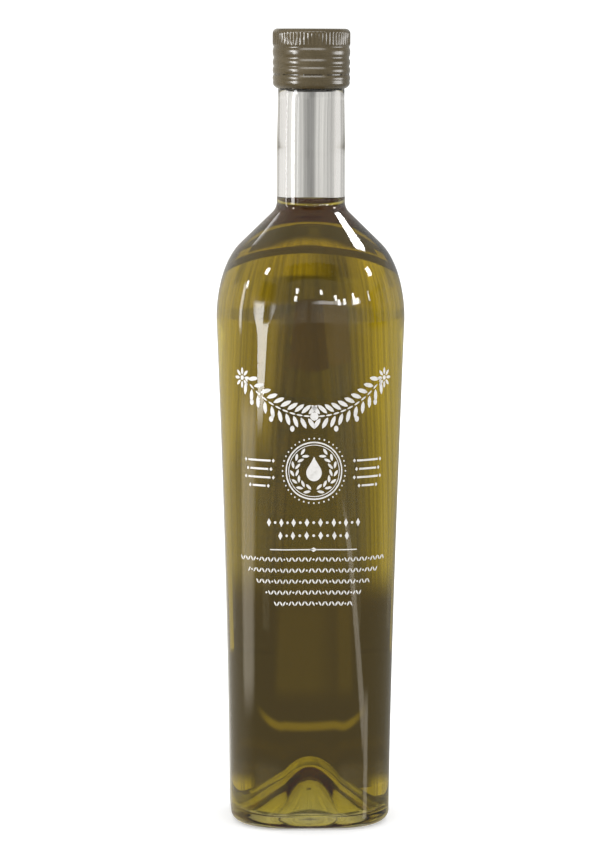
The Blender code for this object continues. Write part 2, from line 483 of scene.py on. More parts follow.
@dataclass(frozen=True)
class Sheet:
    """A node tree with short ways to add nodes and link them.

    Attributes:
        tree: The node tree.
    """

    tree: bpy.types.NodeTree

    def node(self, kind: str, inputs: dict | None = None, **settings: object) -> bpy.types.Node:
        """Add a node.

        Args:
            kind: Its type.
            inputs: Values or sockets for its inputs, by name or number.
            **settings: Its own properties.

        Returns:
            The node.
        """
        made = self.tree.nodes.new(kind)
        for name, value in settings.items():
            setattr(made, name, value)
        self.feed(made, inputs or {})
        return made

    def feed(self, node: bpy.types.Node, inputs: dict) -> None:
        """Link sockets to a node's inputs or set their values.

        Args:
            node: The node.
            inputs: Values or sockets for its inputs, by name or number.
        """
        for key, value in inputs.items():
            if isinstance(value, bpy.types.NodeSocket):
                self.tree.links.new(value, node.inputs[key])
            else:
                node.inputs[key].default_value = value

    def math(self, operation: str, first: object, second: object = 0.0) -> bpy.types.NodeSocket:
        """Return the result of a Math node."""
        return self.node("ShaderNodeMath", {0: first, 1: second}, operation=operation).outputs[0]

    def remap(
        self, value: bpy.types.NodeSocket, old: tuple[float, float], new: tuple[float, float]
    ) -> bpy.types.NodeSocket:
        """Return a value mapped smoothly from one range to another, and held at its ends.

        Args:
            value: The value.
            old: The range that it has.
            new: The range that it gets.

        Returns:
            The mapped value.
        """
        inputs = {"Value": value, 1: old[0], 2: old[1], 3: new[0], 4: new[1]}
        made = self.node("ShaderNodeMapRange", inputs, interpolation_type="SMOOTHSTEP")
        return made.outputs["Result"]

    def mix(self, share: object, first: object, second: object) -> bpy.types.NodeSocket:
        """Return the mix of two colours.

        Args:
            share: How much of the second colour is in it.
            first: The first colour, a value or a socket.
            second: The second colour.

        Returns:
            The mixed colour.
        """
        made = self.node("ShaderNodeMix", {"Factor": share}, data_type="RGBA")
        for socket, value in ((made.inputs[6], first), (made.inputs[7], second)):
            if isinstance(value, bpy.types.NodeSocket):
                self.tree.links.new(value, socket)
            else:
                socket.default_value = (*value, 1.0)
        return made.outputs[2]

    def noise(self, scale: float, detail: float, rough: float = 0.5) -> bpy.types.NodeSocket:
        """Return noise on the piece's Object coordinates.

        Args:
            scale: Its scale.
            detail: Its detail.
            rough: Its roughness.

        Returns:
            The noise, around one half.
        """
        place = self.node("ShaderNodeTexCoord").outputs["Object"]
        inputs = {"Vector": place, "Scale": scale, "Detail": detail, "Roughness": rough}
        return self.node("ShaderNodeTexNoise", inputs).outputs[0]

    def bump(self, height: bpy.types.NodeSocket, strength: float, depth: float) -> bpy.types.NodeSocket:
        """Return the normal of a surface with small heights on it."""
        inputs = {"Strength": strength, "Distance": depth, "Height": height}
        return self.node("ShaderNodeBump", inputs).outputs[0]

    def end_in_glow(self, share: object, colour: tuple[float, float, float], radiance: float) -> None:
        """End a material in a light that shows by a share, and is clear beside it.

        Args:
            share: How far the light shows.
            colour: Its colour.
            radiance: How bright it is.
        """
        glow = self.node("ShaderNodeEmission", {"Color": (*colour, 1.0), "Strength": radiance})
        clear = self.node("ShaderNodeBsdfTransparent")
        mixed = self.node("ShaderNodeMixShader", {0: share, 1: clear.outputs[0], 2: glow.outputs[0]})
        self.tree.nodes.remove(self.tree.nodes["Principled BSDF"])
        self.feed(self.tree.nodes["Material Output"], {"Surface": mixed.outputs[0]})


def new_sheet(name: str) -> tuple[bpy.types.Material, Sheet, bpy.types.Node]:
    """Return a new material, its sheet and its Principled shader.

    Args:
        name: The material's name.

    Returns:
        The material, the sheet and the shader.
    """
    material = bpy.data.materials.new(name)
    material.use_nodes = True
    return material, Sheet(material.node_tree), material.node_tree.nodes["Principled BSDF"]


@dataclass(frozen=True)
class ClearGlassFinish:
    """Clear bottle glass with the faint ripple that its mould leaves."""

    tint: tuple[float, float, float] = (0.985, 0.99, 0.98)
    ior: float = 1.52
    ripple_height: float = 0.00002

    def material(self) -> bpy.types.Material:
        """Return the material."""
        made, sheet, shader = new_sheet("clear_glass")
        ripple = sheet.noise(scale=55.0, detail=2.0)
        fine = sheet.noise(scale=400.0, detail=3.0)
        deeper = tuple(0.985 * part for part in self.tint)
        sheet.feed(shader, {
            "Transmission Weight": 1.0,
            "IOR": self.ior,
            "Base Color": sheet.mix(fine, self.tint, deeper),
            "Roughness": sheet.remap(fine, (0.35, 0.7), (0.0, 0.012)),
            "Normal": sheet.bump(ripple, strength=0.25, depth=self.ripple_height),
        })
        return made


@dataclass(frozen=True)
class OilFinish:
    """Olive oil, whose colour deepens with the way that light has through it.

    Attributes:
        kept_per_metre: The volume node's colour, which is the part that it doesn't absorb.
        density: The density of the volume node.
        ior: Its refractive index.
    """

    kept_per_metre: tuple[float, float, float] = (0.893, 0.832, 0.0)
    density: float = 80.0
    ior: float = 1.47

    def material(self) -> bpy.types.Material:
        """Return the material."""
        made, sheet, shader = new_sheet("oil")
        cloud = sheet.noise(scale=30.0, detail=2.0)
        sheet.feed(shader, {
            "Transmission Weight": 1.0,
            "IOR": self.ior,
            "Specular Tint": (0.05, 0.05, 0.05, 1.0),
            "Base Color": sheet.mix(cloud, (1.0, 1.0, 0.99), (0.985, 0.98, 0.95)),
            "Roughness": sheet.remap(cloud, (0.3, 0.7), (0.0, 0.01)),
        })
        taken = {"Color": (*self.kept_per_metre, 1.0), "Density": self.density}
        volume = sheet.node("ShaderNodeVolumeAbsorption", taken)
        sheet.feed(sheet.tree.nodes["Material Output"], {"Volume": volume.outputs[0]})
        return made


@dataclass(frozen=True)
class CapLacquerFinish:
    """Glossy dark brown lacquer on aluminium, with faint paler clouds."""

    colour: tuple[float, float, float] = (0.044, 0.033, 0.015)
    paler: tuple[float, float, float] = (0.056, 0.043, 0.022)

    def material(self) -> bpy.types.Material:
        """Return the material."""
        made, sheet, shader = new_sheet("cap_lacquer")
        grain = sheet.noise(scale=900.0, detail=4.0)
        cloud = sheet.remap(sheet.noise(scale=120.0, detail=3.0), (0.35, 0.75), (0.0, 1.0))
        sheet.feed(shader, {
            "Base Color": sheet.mix(cloud, self.colour, self.paler),
            "Roughness": sheet.remap(grain, (0.3, 0.7), (0.20, 0.30)),
            "Normal": sheet.bump(grain, strength=0.03, depth=0.00003),
            "Specular IOR Level": 0.1,
            "Coat Weight": 0.9,
            "Coat Roughness": 0.20,
        })
        return made


@dataclass(frozen=True)
class InkFinish:
    """White screen ink, baked on, with a fine grain and slightly uneven cover."""

    colour: tuple[float, float, float] = (0.60, 0.59, 0.57)
    thinner: tuple[float, float, float] = (0.46, 0.45, 0.42)

    def material(self) -> bpy.types.Material:
        """Return the material."""
        made, sheet, shader = new_sheet("white_ink")
        grain = sheet.noise(scale=2500.0, detail=3.0)
        cloud = sheet.remap(sheet.noise(scale=350.0, detail=4.0, rough=0.7), (0.45, 0.80), (0.0, 1.0))
        sheet.feed(shader, {
            "Base Color": sheet.mix(cloud, self.colour, self.thinner),
            "Roughness": sheet.remap(grain, (0.3, 0.7), (0.38, 0.55)),
            "Normal": sheet.bump(grain, strength=0.3, depth=0.00002),
        })
        return made


# The pieces of the bottle


@dataclass(frozen=True)
class GlassBottle:
    """The glass, outside and inside in one closed mesh.

    Attributes:
        form: The bottle's sizes.
        loft: How its rings are made.
        finish: Its material.
    """

    form: BottleForm = BottleForm()
    loft: Loft = Loft()
    finish: ClearGlassFinish = ClearGlassFinish()

    def build(self) -> bpy.types.Object:
        """Model the glass and let it stand for its CAD node."""
        form, loft = self.form, self.loft
        round_rings = [Ring(r, 0.0, z) for r, z in form.punt_line()]
        inner_round = [Ring(r, 0.0, z) for r, z in form.inner_punt_line()]
        parts = [
            loft.wall("glass_outside", form.rings(form.outer_line())),
            loft.wall("glass_inside", form.rings(form.inner_line())),
            loft.wall("glass_punt", round_rings, pole=True),
            loft.wall("glass_inner_punt", inner_round, pole=True),
        ]
        glass = join_pieces("bottle_glass", parts)
        loft.bridge_from(glass, 0.0, form.floor, form.lip_top - RIM_STEP)
        close_piece(glass, self.finish.material(), sharp_over=50.0)
        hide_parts("glass_bottle")
        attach(glass, "root")
        return glass


@dataclass(frozen=True)
class OilFill:
    """The oil, which reaches a hair into the wall and climbs it at its level.

    Attributes:
        form: The bottle's sizes.
        loft: How its rings are made.
        finish: Its material.
        reach: How far it reaches into the wall.
        level: The height of its level surface.
        climb: How far it climbs the wall.
        climb_width: The width over which the climb falls away.
        shares: Where its surface has rings, as shares of the rim's radius.
        gap: The least height between its rim and the ring below it.
    """

    form: BottleForm = BottleForm()
    loft: Loft = Loft()
    finish: OilFinish = OilFinish()
    reach: float = 0.0002
    level: float = 0.2525
    climb: float = 0.0026
    climb_width: float = 0.0018
    shares: tuple[float, ...] = (0.03, 0.2, 0.4, 0.55, 0.67, 0.76, 0.83, 0.88, 0.92, 0.95, 0.975, 1.0)
    gap: float = 0.0002

    def surface_line(self, rim: float) -> list[tuple[float, float]]:
        """Return the top surface from its level middle out to the wall."""
        radii = [rim * share for share in self.shares]
        return [(r, self.level + self.climb * math.exp((r - rim) / self.climb_width)) for r in radii]

    def build(self) -> bpy.types.Object:
        """Model the oil and let it stand for its CAD node."""
        form, loft = self.form, self.loft
        contact = self.level + self.climb
        line = form.inner_line(self.reach)
        below = [(r, z) for r, z in line if z < contact - self.gap]
        over = next((r, z) for r, z in line if z >= contact - self.gap)
        share = (contact - below[-1][1]) / (over[1] - below[-1][1])
        rim = below[-1][0] + (over[0] - below[-1][0]) * share
        wall = form.rings(below + [(rim, contact)])
        surface = [Ring(r, 0.0, z) for r, z in self.surface_line(rim)]
        floor = [Ring(r, 0.0, z) for r, z in form.inner_punt_line(self.reach)]
        parts = [
            loft.wall("oil_wall", wall),
            loft.wall("oil_floor", floor, pole=True),
            self.top(surface),
        ]
        oil = join_pieces("oil_fill", parts)
        open_piece(oil)
        bpy.ops.mesh.remove_doubles(threshold=NEAR)
        bpy.ops.object.mode_set(mode="OBJECT")
        loft.bridge_from(oil, form.floor - self.reach)
        close_piece(oil, self.finish.material(), sharp_over=50.0)
        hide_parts("olive_oil")
        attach(oil, "root")
        return oil

    def top(self, surface: Sequence[Ring]) -> bpy.types.Object:
        """Return the oil's top surface, closed in its middle.

        Args:
            surface: Its rings, innermost first.

        Returns:
            The surface, open at its rim.
        """
        top = self.loft.wall("oil_top", surface)
        open_piece(top)
        close_rim(top, surface[0].height)
        bpy.ops.object.mode_set(mode="OBJECT")
        return top


@dataclass(frozen=True)
class ScrewCap:
    """The aluminium cap: crown, knurl, rolled beads, thread zone and tamper band.

    Attributes:
        finish: Its material.
        radius: Its outer radius.
        top: The height of its top.
        height: Its height.
        crown_round: The radius of its upper edge.
        ridges: The knurl's ridges.
        columns: Vertices to each ridge.
        pole_radius: The radius of the first ring round the middle of its top.
        second_radius: The radius of the second.
        bore_radius: The inner radius over the thread.
        mouth_radius: The inner radius at its foot.
        mouth_rises: Heights over its foot where the inside starts, widens and is wide.
        sheet: How thick its top is.
        knurl_drop: How far below its top the knurl ends.
        knurl_depth: How deep the knurl's grooves are.
        knurl_flank: How deep their flanks are, as a share of that.
        knurl_overlap: How far the knurl reaches into the round upper edge.
        skin: How far in from the outside a point still belongs to the knurl.
        slit_drop: How far below its top the tamper slits are.
        slit_depth: How deep the slits are cut.
        slit_half: Half the height of what is pressed in.
        slit_radius: The radius outside which it is.
        slits: The number of slits, with a bridge between each two.
        bridge_angle: The angle that a bridge takes.
    """

    finish: CapLacquerFinish = CapLacquerFinish()
    radius: float = 0.01575
    top: float = 0.3230
    height: float = 0.0239
    crown_round: float = 0.0020
    ridges: int = 60
    columns: int = 4
    pole_radius: float = 0.0040
    second_radius: float = 0.0095
    bore_radius: float = 0.01465
    mouth_radius: float = 0.01375
    mouth_rises: tuple[float, ...] = (0.00005, 0.0006, 0.0026)
    sheet: float = 0.0008
    knurl_drop: float = 0.0062
    knurl_depth: float = 0.00032
    knurl_flank: float = 0.35
    knurl_overlap: float = 0.0004
    skin: float = 0.0006
    slit_drop: float = 0.0184
    slit_depth: float = 0.0006
    slit_half: float = 0.00021
    slit_radius: float = 0.0150
    slits: int = 10
    bridge_angle: float = math.radians(7)

    def skirt(self) -> list[tuple[float, float]]:
        """Return the outside below the crown as (depth from the top, distance in)."""
        return [
            (0.0026, 0.0), (0.0060, 0.0), (0.0066, 0.00012), (0.0070, 0.00036), (0.0074, 0.00042),
            (0.0078, 0.00034), (0.0082, 0.00017), (0.0088, 0.00006), (0.0094, 0.00003),
            (0.0101, 0.00007), (0.0107, 0.00018), (0.0111, 0.00034), (0.0115, 0.00044),
            (0.0119, 0.00044), (0.0123, 0.00034), (0.0127, 0.00017), (0.0132, 0.00007),
            (0.0137, 0.00006), (0.0142, 0.00012), (0.0146, 0.00026), (0.0150, 0.00042),
            (0.0153, 0.00042), (0.0156, 0.00026), (0.0160, 0.00012),
            (0.0166, 0.00005), (0.0172, 0.00008), (0.0177, 0.00020), (0.0181, 0.00034),
            (0.0182, 0.00036), (0.0184, 0.00036), (0.0186, 0.00036), (0.0187, 0.00034),
            (0.0192, 0.00014), (0.0199, 0.00002), (0.0205, 0.00014), (0.0209, 0.00024),
            (0.0213, 0.00020), (0.0219, 0.00016), (0.0225, 0.00030), (0.0230, 0.00062),
            (0.0234, 0.00108), (0.0237, 0.00148), (0.0239, 0.00165),
        ]

    def build(self) -> bpy.types.Object:
        """Model the cap and let it stand for its CAD node."""
        crown_centre = (self.radius - self.crown_round, self.top - self.crown_round)
        crown = arc(crown_centre, self.crown_round, 88, 0, 8)
        outside = [(self.pole_radius, self.top - RIM_STEP), (self.second_radius, self.top - 2 * RIM_STEP)]
        outside += crown
        outside += [(self.radius - inset, self.top - depth) for depth, inset in self.skirt()]
        start, widening, wide = (self.top - self.height + rise for rise in self.mouth_rises)
        inside = [
            (self.mouth_radius, start),
            (self.mouth_radius, widening),
            (self.bore_radius, wide),
            (self.bore_radius, self.top - 2 * self.sheet),
            (self.bore_radius - self.sheet, self.top - self.sheet),
            (self.pole_radius, self.top - self.sheet),
        ]
        cap = self.turn(outside + inside)
        self.press_knurl(cap)
        self.press_slits(cap)
        close_piece(cap, self.finish.material(), sharp_over=35.0)
        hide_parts("screw_cap")
        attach(cap, "root")
        return cap

    def turn(self, profile: Sequence[tuple[float, float]]) -> bpy.types.Object:
        """Return the cap as a ring drawn out along its profile.

        Args:
            profile: Points (r, z) from the top's middle, down outside and up inside.

        Returns:
            The closed cap.
        """
        clear_selection()
        count = self.ridges * self.columns
        start_r, start_z = profile[0]
        bpy.ops.mesh.primitive_circle_add(vertices=count, radius=start_r, location=(0, 0, 0))
        cap = bpy.context.object
        cap.name = cap.data.name = "cap"
        open_piece(cap)
        bpy.ops.transform.translate(value=(0, 0, start_z))
        bpy.ops.mesh.extrude_edges_move()
        bpy.ops.mesh.merge(type="CENTER")
        pick(cap, lambda place: math.hypot(place.x, place.y) > start_r / 2)
        for (r0, z0), (r1, z1) in zip(profile, profile[1:]):
            bpy.ops.mesh.extrude_edges_move(TRANSFORM_OT_translate={"value": (0, 0, z1 - z0)})
            bpy.ops.transform.resize(value=(r1 / r0, r1 / r0, 1), center_override=(0, 0, z1))
        bpy.ops.mesh.edge_face_add()
        bpy.ops.mesh.poke()
        bpy.ops.object.mode_set(mode="OBJECT")
        return cap

    def press_knurl(self, cap: bpy.types.Object) -> None:
        """Press the knurl's grooves between its ridges.

        Args:
            cap: The cap.
        """
        low, high = self.top - self.knurl_drop, self.top - self.crown_round + self.knurl_overlap
        step = 2.0 * math.pi / (self.ridges * self.columns)

        def in_column(places: tuple[int, ...]) -> Callable[[Vector], bool]:
            """Return a test for the knurl's columns."""

            def test(place: Vector) -> bool:
                """Say whether a place is in the columns."""
                if not low < place.z < high or math.hypot(place.x, place.y) < self.radius - self.skin:
                    return False
                return round(math.atan2(place.y, place.x) / step) % self.columns in places

            return test

        for places, depth in (((2,), self.knurl_depth), ((1, 3), self.knurl_depth * self.knurl_flank)):
            open_piece(cap)
            pick(cap, in_column(places))
            share = 1.0 - depth / self.radius
            bpy.ops.transform.resize(value=(share, share, 1), center_override=(0, 0, 0))
            bpy.ops.object.mode_set(mode="OBJECT")

    def press_slits(self, cap: bpy.types.Object) -> None:
        """Press the tamper band's slits in, and leave its bridges standing.

        Args:
            cap: The cap.
        """
        height = self.top - self.slit_drop
        pitch = 2.0 * math.pi / self.slits

        def in_slit(place: Vector) -> bool:
            """Say whether a place is in a slit."""
            if abs(place.z - height) > self.slit_half or math.hypot(place.x, place.y) < self.slit_radius:
                return False
            turned = math.atan2(place.y, place.x) % pitch
            return self.bridge_angle / 2 < turned < pitch - self.bridge_angle / 2

        open_piece(cap)
        pick(cap, in_slit)
        share = 1.0 - self.slit_depth / self.radius
        bpy.ops.transform.resize(value=(share, share, 1), center_override=(0, 0, height))
        bpy.ops.object.mode_set(mode="OBJECT")


# The white print on the front: plain ornament


class Motif(Enum):
    """The shapes that the print is stamped with."""

    LEAF = "leaf"
    BERRY = "berry"
    LOZENGE = "lozenge"
    BAR = "bar"
    DROP = "drop"


def polar(across: float, height: float, out: float, turn: float) -> tuple[float, float]:
    """Return the place that is a distance out from another, at an angle in degrees."""
    angle = math.radians(turn)
    return across + out * math.cos(angle), height + out * math.sin(angle)


@dataclass(frozen=True)
class Mark:
    """One shape of the print, on the flat.

    Attributes:
        motif: Its shape.
        across: Its place to the right of the print's middle.
        height: Its height over the bottle's foot.
        length: Its size along itself.
        width: Its size across itself.
        turn: How far it is turned from level, in degrees.
    """

    motif: Motif
    across: float
    height: float
    length: float
    width: float
    turn: float = 0.0


@dataclass(frozen=True)
class FrontPrint:
    """A hanging garland, a medallion with a drop, and rows of small ornament.

    Attributes:
        ink: Its material.
        wrap_radius: The radius at which it is bent round, just outside the glass.
        lift: Its distance from the glass.
        thickness: How thick the ink is.
        cut_pitch: The distance between the cuts that let it bend.
        half_width: Half the width that is cut.
        garland_half: Half the garland's length across.
        garland_top: The height of the garland's ends.
        garland_sag: How far it hangs down.
        garland_steps: The pairs of leaves on each half of it.
        leaf: A garland leaf's length and width.
        leaf_lean: How far a leaf is turned from its stem, in degrees.
        leaf_out: How far its middle is from the stem.
        stem: The length and width of a piece of the stem.
        knot: The size of the berry in the garland's middle.
        olive: The size of an olive that hangs from it.
        olive_drop: How far below the stem an olive's middle is.
        rosette_place: How far out from the garland's end a rosette's middle is, and how far up.
        rosette_radius: The distance from there to its petals' tips.
        petals: The petals of a rosette.
        petal: A petal's length and width, as shares of that radius.
        petal_out: How far out a petal's middle is, as a share of it.
        eye: The size of a rosette's berry, as a share of it.
        medallion_height: The height of the medallion's middle.
        medallion_radius: Its outer radius.
        drop: The length and width of the drop in it.
        drop_lower: How far below its middle the drop's middle is.
        twig_leaves: The pairs of leaves on a laurel twig.
        twig_leaf: The length and width of such a leaf.
        dots: The dots round the medallion.
        dot: The size of a dot.
        dot_out: How far outside the medallion the dots are.
        bar_halves: Half the lengths of the bars beside the medallion, from the top down.
        bar_width: How thick they are.
        bar_out: How far their middles are from the print's middle.
        bar_rise: How far the highest is above the medallion's middle.
        bar_pitch: The distance from one to the next.
        bar_end: The size of the lozenge at either end of a bar.
        bar_gap: How far its middle is from the bar's end.
        bead_rows: The height, half length and count of each row of lozenges and berries.
        bead_lozenge: The size of a lozenge in them.
        bead_berry: The size of a berry in them.
        rule_height: The height of the thin rule.
        rule_half: Half its length.
        rule_width: How thick it is.
        rule_lozenge: The size of the lozenge in its middle.
        row_heights: The heights of the rows of small leaves.
        row_half: Half the length of the first of those rows.
        row_taper: How much shorter each next row is at either end.
        row_pitch: The distance from one small leaf to the next.
        row_leaf: The length and width of a small leaf.
        row_lean: How far it is turned up or down, in degrees.
        row_berry: The size of the berries between the leaves.
    """

    ink: InkFinish = InkFinish()
    wrap_radius: float = 0.0390
    lift: float = 0.00003
    thickness: float = 0.00006
    cut_pitch: float = 0.0016
    half_width: float = 0.0380
    garland_half: float = 0.0300
    garland_top: float = 0.1835
    garland_sag: float = 0.0140
    garland_steps: int = 10
    leaf: tuple[float, float] = (0.0050, 0.0017)
    leaf_lean: float = 52.0
    leaf_out: float = 0.0036
    stem: tuple[float, float] = (0.0028, 0.0007)
    knot: tuple[float, float] = (0.0034, 0.0034)
    olive: tuple[float, float] = (0.0019, 0.0024)
    olive_drop: float = 0.0062
    rosette_place: tuple[float, float] = (0.0022, 0.0006)
    rosette_radius: float = 0.0044
    petals: int = 8
    petal: tuple[float, float] = (0.66, 0.28)
    petal_out: float = 0.62
    eye: float = 0.42
    medallion_height: float = 0.1475
    medallion_radius: float = 0.0118
    drop: tuple[float, float] = (0.0062, 0.0068)
    drop_lower: float = 0.0008
    twig_leaves: int = 7
    twig_leaf: tuple[float, float] = (0.0030, 0.0011)
    dots: int = 40
    dot: tuple[float, float] = (0.0007, 0.0007)
    dot_out: float = 0.0013
    bar_halves: tuple[float, ...] = (0.0052, 0.0042, 0.0052, 0.0030)
    bar_width: float = 0.0008
    bar_out: float = 0.0235
    bar_rise: float = 0.0040
    bar_pitch: float = 0.0034
    bar_end: tuple[float, float] = (0.0013, 0.0016)
    bar_gap: float = 0.0012
    bead_rows: tuple[tuple[float, float, int], ...] = ((0.1265, 0.0190, 15), (0.1212, 0.0140, 11))
    bead_lozenge: tuple[float, float] = (0.0019, 0.0034)
    bead_berry: tuple[float, float] = (0.0011, 0.0011)
    rule_height: float = 0.1155
    rule_half: float = 0.0185
    rule_width: float = 0.00045
    rule_lozenge: tuple[float, float] = (0.0030, 0.0018)
    row_heights: tuple[float, ...] = (0.1115, 0.1070, 0.1025, 0.0980, 0.0935)
    row_half: float = 0.0330
    row_taper: float = 0.0040
    row_pitch: float = 0.00135
    row_leaf: tuple[float, float] = (0.0021, 0.00062)
    row_lean: float = 62.0
    row_berry: tuple[float, float] = (0.0008, 0.0008)

    def garland(self) -> list[Mark]:
        """Return the garland: a hanging stem with leaves, berries and a rosette at each end."""
        marks = []
        for i in range(-self.garland_steps, self.garland_steps + 1):
            share = i / self.garland_steps
            across = self.garland_half * share
            height = self.garland_top - self.garland_sag * (1.0 - share * share)
            slope = math.degrees(math.atan(2 * self.garland_sag * share / self.garland_half))
            if i == 0:
                marks.append(Mark(Motif.BERRY, across, height, *self.knot))
                continue
            marks.append(Mark(Motif.LEAF, across, height, *self.stem, slope))
            for side in (-1, 1):
                inwards = -1 if i > 0 else 1
                lean = slope + side * self.leaf_lean * inwards
                place = polar(across, height, inwards * self.leaf_out, lean)
                marks.append(Mark(Motif.LEAF, *place, *self.leaf, lean))
            if i % 3 == 0:
                marks.append(Mark(Motif.BERRY, across, height - self.olive_drop, *self.olive))
        out, up = self.rosette_place
        for side in (-1, 1):
            marks += self.rosette(side * (self.garland_half + out), self.garland_top + up)
        return marks

    def rosette(self, across: float, height: float) -> list[Mark]:
        """Return petals round a berry.

        Args:
            across: The place of its middle to the right.
            height: The height of its middle.

        Returns:
            Its marks.
        """
        radius = self.rosette_radius
        marks = [Mark(Motif.BERRY, across, height, radius * self.eye, radius * self.eye)]
        for i in range(self.petals):
            turn = 360.0 * i / self.petals
            place = polar(across, height, radius * self.petal_out, turn)
            marks.append(Mark(Motif.LEAF, *place, *(radius * share for share in self.petal), turn))
        return marks

    def medallion(self) -> list[Mark]:
        """Return a drop between two laurel twigs, and the dots round its rings."""
        middle, radius = self.medallion_height, self.medallion_radius
        marks = [Mark(Motif.DROP, 0.0, middle - self.drop_lower, *self.drop)]
        for side in (-1, 1):
            for i in range(self.twig_leaves):
                turn = -72.0 + 22.0 * i
                for out, lean in ((radius * 0.58, 118.0), (radius * 0.76, 62.0)):
                    across, height = polar(0.0, middle, out, turn)
                    slope = side * (turn + lean)
                    marks.append(Mark(Motif.LEAF, side * across, height, *self.twig_leaf, slope))
        for i in range(self.dots):
            place = polar(0.0, middle, radius + self.dot_out, 360.0 * i / self.dots)
            marks.append(Mark(Motif.BERRY, *place, *self.dot))
        return marks

    def side_bars(self) -> list[Mark]:
        """Return small stacks of lozenges and bars on either side of the medallion."""
        marks = []
        for side in (-1, 1):
            for i, half in enumerate(self.bar_halves):
                height = self.medallion_height + self.bar_rise - self.bar_pitch * i
                marks.append(Mark(Motif.BAR, side * self.bar_out, height, 2 * half, self.bar_width))
                for end in (-1, 1):
                    across = side * self.bar_out + end * (half + self.bar_gap)
                    marks.append(Mark(Motif.LOZENGE, across, height, *self.bar_end))
        return marks

    def middle_rows(self) -> list[Mark]:
        """Return two rows of lozenges and berries, and the rule under them."""
        marks = []
        for height, half, count in self.bead_rows:
            for i in range(count):
                across = half * (2 * i / (count - 1) - 1)
                motif = Motif.LOZENGE if i % 2 == 0 else Motif.BERRY
                size = self.bead_lozenge if i % 2 == 0 else self.bead_berry
                marks.append(Mark(motif, across, height, *size))
        marks.append(Mark(Motif.BAR, 0.0, self.rule_height, 2 * self.rule_half, self.rule_width))
        marks.append(Mark(Motif.LOZENGE, 0.0, self.rule_height, *self.rule_lozenge))
        return marks

    def leaf_rows(self) -> list[Mark]:
        """Return the rows of small slanted leaves, each shorter than the one above."""
        marks = []
        pitch = self.row_pitch
        for row, height in enumerate(self.row_heights):
            count = int((self.row_half - self.row_taper * row) / pitch)
            for i in range(-count, count + 1):
                if (i + 2 * row) % 9 == 0:
                    marks.append(Mark(Motif.BERRY, i * pitch, height, *self.row_berry))
                else:
                    turn = self.row_lean if i % 2 else -self.row_lean
                    marks.append(Mark(Motif.LEAF, i * pitch, height, *self.row_leaf, turn))
        return marks

    def stamp(self, motif: Motif) -> bpy.types.Object:
        """Return a motif of size 1 in the upright plane, facing the front.

        Args:
            motif: The shape.

        Returns:
            The shape's object, which marks are copied from.
        """
        clear_selection()
        corners = {Motif.LEAF: 12, Motif.BERRY: 12, Motif.LOZENGE: 4, Motif.BAR: 4, Motif.DROP: 24}
        bpy.ops.mesh.primitive_circle_add(
            vertices=corners[motif], radius=0.5, fill_type="NGON", location=(0, 0, 0), rotation=UPRIGHT
        )
        piece = bpy.context.object
        piece.name = "stamp_" + motif.value
        bpy.ops.object.transform_apply(location=True, rotation=True, scale=True)
        open_piece(piece)
        if motif is Motif.LEAF:
            pick(piece, lambda place: 0.35 < abs(place.x) < 0.48)
            bpy.ops.transform.resize(value=(1, 1, 0.62), center_override=(0, 0, 0))
        elif motif is Motif.BAR:
            turn = math.radians(45.0)
            bpy.ops.transform.rotate(value=turn, orient_axis="Y", center_override=(0, 0, 0))
            bpy.ops.transform.resize(value=(math.sqrt(2), 1, math.sqrt(2)), center_override=(0, 0, 0))
        elif motif is Motif.DROP:
            for least, rise, narrow in ((0.25, 0.09, 0.86), (0.40, 0.14, 0.72), (0.48, 0.20, 0.4)):
                pick(piece, lambda place: place.z > least)
                bpy.ops.transform.translate(value=(0, 0, rise))
                bpy.ops.transform.resize(value=(narrow, 1, 1), center_override=(0, 0, 0))
        bpy.ops.object.mode_set(mode="OBJECT")
        return piece

    def ring(self, radius: float, width: float) -> bpy.types.Object:
        """Return a flat ring round the medallion's middle.

        Args:
            radius: Its outer radius.
            width: Its width.

        Returns:
            The ring.
        """
        clear_selection()
        middle = (0, 0, self.medallion_height)
        bpy.ops.mesh.primitive_circle_add(vertices=96, radius=radius, location=middle, rotation=UPRIGHT)
        ring = bpy.context.object
        bpy.ops.object.transform_apply(location=True, rotation=True, scale=True)
        open_piece(ring)
        share = 1.0 - width / radius
        bpy.ops.mesh.extrude_edges_move()
        bpy.ops.transform.resize(value=(share, 1, share), center_override=middle)
        bpy.ops.object.mode_set(mode="OBJECT")
        return ring

    def lay_out(self) -> bpy.types.Object:
        """Return the whole print on the flat, in the upright plane through the axis."""
        marks = self.garland() + self.medallion() + self.side_bars() + self.middle_rows() + self.leaf_rows()
        stamps = {motif: self.stamp(motif) for motif in Motif}
        parts = [self.ring(self.medallion_radius, 0.0006), self.ring(self.medallion_radius - 0.0012, 0.0003)]
        for mark in marks:
            copy = stamps[mark.motif].copy()
            copy.data = copy.data.copy()
            turned = Matrix.Rotation(-math.radians(mark.turn), 4, "Y")
            sized = Matrix.Diagonal((mark.length, 1.0, mark.width, 1.0))
            copy.data.transform(Matrix.Translation((mark.across, 0.0, mark.height)) @ turned @ sized)
            bpy.context.scene.collection.objects.link(copy)
            parts.append(copy)
        for stamp in stamps.values():
            bpy.data.objects.remove(stamp)
        return join_pieces("front_print", parts)

